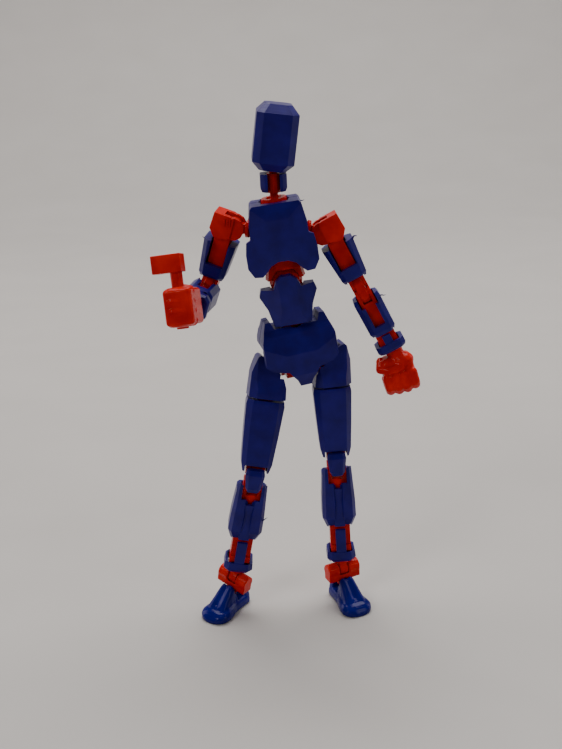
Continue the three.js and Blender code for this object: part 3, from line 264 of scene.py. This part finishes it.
# Waist link and abdomen: a peg that turns in the pelvis, and a fork that bends on
# its eye and carries the belly ball, between a front and a back cover.
frame_piece("waist_link")
frame_piece("abdomen_frame")
cover_piece("abdomen_front")
cover_piece("abdomen_back")

# Chest: one red-orange block with sockets for the belly ball, the shoulders and the
# neck, closed in by a tall faceted breastplate and a back plate. The nozzle left a
# thread and a drop on it, with their points in millimetres from the figure's origin.
frame_piece("chest_frame")
cover_piece("chest_front")
cover_piece("chest_back")
burr_taper = 0.8


def burr(name, body, thick, run, plastic=ultramarine):
    strand = bpy.data.curves.new(name, "CURVE")
    strand.dimensions = "3D"
    strand.bevel_depth = thick
    strand.bevel_resolution = 2
    strand.use_fill_caps = True
    line = strand.splines.new("NURBS")
    line.points.add(len(run) - 1)
    line.use_endpoint_u = True
    line.order_u = 3
    for k, (x, y, z) in enumerate(run):
        line.points[k].co = (x / 1000, y / 1000, z / 1000, 1)
        line.points[k].radius = 1 - burr_taper * k / (len(run) - 1)
    strand.materials.append(plastic)
    piece = new_piece(name, strand)
    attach(piece, body)


burr("breastplate_burr", "chest", 0.00022, [
    (1.9, 7.2, 111.4), (2.8, 7.2, 111.2), (3.3, 7.1, 111.1), (3.7, 7.0, 111.4)])
burr("breastplate_drop", "chest", 0.00026, [
    (-9.3, 3.3, 103.1), (-9.2, 3.2, 102.9), (-9.15, 3.25, 102.5)])

# Neck and head: a post with a ball at each end in a split collar, and a plain
# eight-sided head shell over its socket block. It has no face.
frame_piece("neck_post")
cover_piece("neck_cover")
frame_piece("head_core")
cover_piece("head_shell")

# Arms: a barrel at the shoulder, a squared block and bar in a sleeve, a twin-pin elbow,
# and a forearm in its sleeve, ending in a cuff with a strap. The elbow link is a small
# print with soft, full corners, where the melted layers ran together.
elbow_grain = 0.00014
elbow_swell = 0.0004


def rounded(piece, grain, passes):
    skin = piece.modifiers.new("even_skin", "REMESH")
    skin.mode = "VOXEL"
    skin.voxel_size = grain
    skin.use_smooth_shade = True
    soft = piece.modifiers.new("soft_corners", "SMOOTH")
    soft.factor = 0.5
    soft.iterations = passes


def rounded_frame_piece(node, grain, passes, swell=0):
    shape = frame["nodes"][node].data.copy()
    shape.materials.clear()
    shape.materials.append(red_orange)
    piece = new_piece(node + "_print", shape)
    rounded(piece, grain, passes)
    fuller = piece.modifiers.new("fuller_body", "DISPLACE")
    fuller.mid_level = 0
    fuller.strength = swell
    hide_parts(node)
    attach(piece, body_of_node[node])


for side in ("left", "right"):
    frame_piece("shoulder_link_" + side)
    frame_piece("upper_arm_frame_" + side)
    cover_piece("upper_arm_cover_" + side)
    rounded_frame_piece("elbow_link_" + side, elbow_grain, passes=3, swell=elbow_swell)
    frame_piece("forearm_frame_" + side)
    cover_piece("forearm_cover_" + side)
    cover_piece("wrist_cuff_" + side)

for row, (x, y) in enumerate(((-15.7, 7.9), (-15.0, 7.75), (-14.35, 7.6))):
    burr("shoulder_ridge_" + str(row + 1), "upper_arm_right", 0.0003, [
        (x, y, 107.2), (x, y + 0.12, 106.3), (x, y + 0.3, 105.2)], red_orange)
burr("left_sleeve_burr", "upper_arm_left", 0.00034, [
    (15.0, 7.3, 101.2), (15.3, 7.3, 101.9), (15.7, 7.2, 102.2), (16.2, 7.1, 102.1)])
burr("left_forearm_burr", "forearm_left", 0.00022, [
    (21.6, 8.6, 86.6), (22.3, 8.5, 86.8), (22.8, 8.4, 86.6), (23.3, 8.4, 86.8)])
burr("right_sleeve_burr", "upper_arm_right", 0.0002, [
    (-20.6, 10.1, 102.3), (-21.0, 10.1, 102.6), (-21.4, 10.0, 102.9)])

# Fists: one rounded print each, a palm with four curled fingers and a thumb folded over
# them, on a short wrist stub and peg. The right one closes round the mallet's shaft.
# Sizes in millimetres from the wrist's mouth, -Z down the hand, -Y the fingers' side.
joint_of_name = {joint["name"]: joint for joint in frame["joints"]}
turn_from_elbow_pin = {"left": 0, "right": math.radians(63)}
mirror = {"left": 1, "right": -1}
fist_lean = Matrix.Rotation(math.radians(12), 4, "Y")
palm_width = 8.4
palm_back = 3.3
palm_front = {"left": -2.7, "right": -3.35}
palm_top = -2.4
palm_end = {"left": -11, "right": -12.1}
palm_corner = {"left": 1.5, "right": 0.8}
finger_places = ((-3.25, 0.5), (-1.1, 0.1), (1.1, 0), (3.25, 0.4))
finger_radii = (1.4, 1.32)
thumb_path = ((-3.7, 0.8, -3.4), (-4.4, -1.6, -4.5), (-2.4, -2.9, -5.1), (0.8, -2.7, -4.9))
thumb_radii = (1.3, 1.1)
thumb_base_middle = (1.5, -0.6, -4.0)
thumb_base_radii = (3.1, 2.7, 2.2)
stub_radius, stub_low, stub_high = 2.2, -2.6, -0.35
peg_radius, peg_low, peg_high = 1, -0.8, 2.2
bead_step = 0.3
fist_grain = 0.0002


def finger(blank, place, path, radii):
    points = [Vector(point) for point in path]
    run = sum((b - a).length for a, b in zip(points, points[1:]))
    walked = 0
    for a, b in zip(points, points[1:]):
        beads = max(2, round((b - a).length / bead_step))
        for k in range(beads + 1):
            share = (walked + (b - a).length * k / beads) / run
            bmesh.ops.create_icosphere(
                blank, subdivisions=2, radius=radii[0] + (radii[1] - radii[0]) * share,
                matrix=place @ Matrix.Translation(a.lerp(b, k / beads)))
        walked += (b - a).length


def upright(blank, place, radius, low, high):
    bmesh.ops.create_cone(
        blank, cap_ends=True, segments=32, radius1=radius, radius2=radius, depth=high - low,
        matrix=place @ Matrix.Translation((0, 0, (low + high) / 2)))


def fist(side):
    wrist = joint_of_name["wrist_turn_" + side]
    elbow_pin = Vector(joint_of_name["elbow_lower_" + side]["axis"])
    up = Vector(wrist["axis"])
    across = Matrix.Rotation(turn_from_elbow_pin[side], 3, up) @ elbow_pin
    back = up.cross(across) * mirror[side]
    place = (
        Matrix.Translation(wrist["pos_m"]) @ turned_to(across, back, up) @ Matrix.Scale(0.001, 4))
    leaning = place @ fist_lean

    blank = bmesh.new()
    front, end = palm_front[side], palm_end[side]
    palm_middle = Matrix.Translation((0, (palm_back + front) / 2, (palm_top + end) / 2))
    palm_size = Matrix.Diagonal((palm_width, palm_back - front, palm_top - end, 1))
    bmesh.ops.create_cube(blank, size=1, matrix=palm_middle @ palm_size)
    bmesh.ops.bevel(
        blank, geom=blank.edges, offset=palm_corner[side], segments=3, profile=0.5, affect="EDGES")
    bmesh.ops.transform(blank, matrix=leaning, verts=blank.verts)
    for x, lift in finger_places:
        finger(blank, leaning, [
            (x, 2.1, -8.6), (x, 0.9, -10.9 + lift), (x, -1.5, -11.2 + lift),
            (x, -2.3, -10.2 + lift), (x, -2.3, -7.2)], finger_radii)
    finger(blank, leaning, thumb_path, thumb_radii)
    thumb_base = Matrix.Translation(thumb_base_middle) @ Matrix.Diagonal((*thumb_base_radii, 1))
    bmesh.ops.create_icosphere(blank, subdivisions=3, radius=1, matrix=leaning @ thumb_base)
    upright(blank, place, stub_radius, stub_low, stub_high)
    upright(blank, place, peg_radius, peg_low, peg_high)
    bmesh.ops.recalc_face_normals(blank, faces=blank.faces)
    shape = bpy.data.meshes.new("fist_" + side)
    blank.to_mesh(shape)
    blank.free()
    shape.materials.append(red_orange)
    piece = new_piece("fist_" + side, shape)
    rounded(piece, fist_grain, passes=4)
    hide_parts("hand_" + side)
    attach(piece, "hand_" + side)


fist("left")
fist("right")

# Mallet: a short round shaft with a squared head, printed loose and pushed through
# the right fist.
frame_piece("mallet_right")

# Legs: hip peg, upper thigh, swivelling thigh, twin-pin knee under its cap, shin in a
# grooved cover, ankle cuff with its turning peg, and the yoke on its pin. The yoke has
# soft corners as the elbow link has, and a thread was left on the right shin.
yoke_grain = 0.0002

for side in ("left", "right"):
    frame_piece("hip_link_" + side)
    frame_piece("upper_thigh_frame_" + side)
    cover_piece("upper_thigh_cover_" + side)
    frame_piece("thigh_frame_" + side)
    cover_piece("thigh_cover_" + side)
    frame_piece("knee_link_" + side)
    cover_piece("kneecap_" + side)
    frame_piece("shin_frame_" + side)
    cover_piece("shin_cover_" + side)
    cover_piece("ankle_cuff_" + side)
    frame_piece("ankle_link_" + side)
    rounded_frame_piece("ankle_yoke_" + side, yoke_grain, passes=4)

burr("right_shin_burr", "shin_right", 0.0002, [
    (-10.0, 2.6, 28.6), (-9.4, 2.6, 28.9), (-9.0, 2.5, 29.4), (-8.5, 2.4, 29.6)])

# Feet: rounded blue shoes, printed glossier than the covers. Each has a flat sole, a low
# heel, a notch for the yoke on its roll pin, and an instep ramp with a shallow channel.
# Sizes in millimetres from the roll pin, +Y to the heel, each list from toe to heel.
glossy_ultramarine = printed_plastic(
    "glossy_ultramarine_filament", deep=(0.004, 0.003, 0.12), bright=(0.007, 0.006, 0.18),
    rough=(0.1, 0.22), layer=0.0003, glow=0, sheen=0.13)
toe = -11.2
heel = 4.4
sole_drop = 5.8
sole_rim = 1.1
rim_drop = sole_drop - sole_rim
shoe_half_width = [
    (toe, 0.8), (-11.05, 1.7), (-10.6, 2.8), (-9.8, 3.7), (-8.5, 4.3), (-7, 4.25), (-5, 3.8),
    (-3, 3.2), (0, 3.0), (3, 2.9), (4, 2.2), (heel, 0.9)]
shoe_crown = [
    (toe, -5.0), (-11, -4.5), (-10.4, -3.7), (-9.5, -3.1), (-8, -2.7), (-6, -2.4), (-3, -2.2),
    (0, -2), (2.5, -2.2), (3.9, -3.2), (heel, -4)]
ramp_start = -10.5
ramp_half_width = [(ramp_start, 2.4), (-9.5, 2.9), (-8, 3.1), (-6, 2.8), (-2.4, 2.4)]
ramp_top = [
    (ramp_start, -4.6), (-9.5, -3.7), (-8, -2.3), (-6, -0.6), (-4.4, 0.7), (-3.2, 1.6), (-2.4, 1.9),
    (0, 0.8), (2.2, 0.3), (3.4, -1.2), (4.2, -4)]
channel_start = -8.4
channel_fade = 1.2
channel_depth = 0.55
channel_half_width = 0.8
yoke_bay_front, yoke_bay_back, yoke_bay_floor = -2.3, 2.2, -0.8
pin_notch_half, pin_notch_floor = 1.45, -2.9
pin_radius, pin_length = 1, 3.6
dome_squareness, ramp_squareness, sole_squareness = 2.6, 4, 7
rings_along = 104
points_across = 40
shoe_grain = 0.0002


def along(outline, y):
    for (y0, size0), (y1, size1) in zip(outline, outline[1:]):
        if y <= y1:
            share = min(max((y - y0) / (y1 - y0), 0), 1)
            return size0 + (size1 - size0) * share
    return outline[-1][1]


def arch(x, half_width, squareness):
    return max(0, 1 - abs(x / half_width) ** squareness) ** (1 / squareness)


def shoe_top(x, y):
    half_width = along(shoe_half_width, y)
    z = (along(shoe_crown, y) + rim_drop) * arch(x, half_width, dome_squareness) - rim_drop
    ramp_half = min(along(ramp_half_width, y), half_width)
    if abs(x) < ramp_half and y > ramp_start:
        ramp = (along(ramp_top, y) + rim_drop) * arch(x, ramp_half, ramp_squareness) - rim_drop
        fade = min(max((y - channel_start) / channel_fade, 0), 1)
        z = max(z, ramp - channel_depth * math.exp(-(x / channel_half_width) ** 2) * fade)
    if yoke_bay_front < y < yoke_bay_back:
        z = min(z, yoke_bay_floor)
    if abs(y) < pin_notch_half:
        z = min(z, pin_notch_floor)
    return z


def shoe_bottom(x, y):
    return -rim_drop - sole_rim * arch(x, along(shoe_half_width, y), sole_squareness)


def shoe(side):
    roll_pin = joint_of_name["ankle_roll_" + side]
    back = Vector(roll_pin["axis"])
    if back.y < 0:
        back.negate()
    up = Vector((0, 0, 1))
    place = Matrix.Translation(roll_pin["pos_m"]) @ turned_to(back.cross(up), back, up)
    shell = bmesh.new()
    rings = []
    for i in range(rings_along + 1):
        y = toe + (heel - toe) * i / rings_along
        half_width = along(shoe_half_width, y)
        across = [
            -half_width * math.cos(math.pi * k / points_across) for k in range(points_across + 1)]
        ring = [(x, y, shoe_top(x, y)) for x in across]
        ring += [(x, y, shoe_bottom(x, y)) for x in across[-2:0:-1]]
        rings.append([shell.verts.new(place @ (Vector(point) / 1000)) for point in ring])
    for low, high in zip(rings, rings[1:]):
        for k in range(len(low)):
            n = (k + 1) % len(low)
            shell.faces.new((low[k], low[n], high[n], high[k]))
    shell.faces.new(rings[0][::-1])
    shell.faces.new(rings[-1])
    bmesh.ops.create_cone(
        shell, cap_ends=True, segments=32, radius1=pin_radius / 1000, radius2=pin_radius / 1000,
        depth=pin_length / 1000, matrix=place @ Matrix.Rotation(math.radians(90), 4, "X"))
    bmesh.ops.recalc_face_normals(shell, faces=shell.faces)
    shape = bpy.data.meshes.new("shoe_" + side)
    shell.to_mesh(shape)
    shell.free()
    shape.materials.append(glossy_ultramarine)
    piece = new_piece("shoe_" + side, shape)
    rounded(piece, shoe_grain, passes=5)
    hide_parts("foot_" + side)
    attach(piece, "foot_" + side)


shoe("left")
shoe("right")
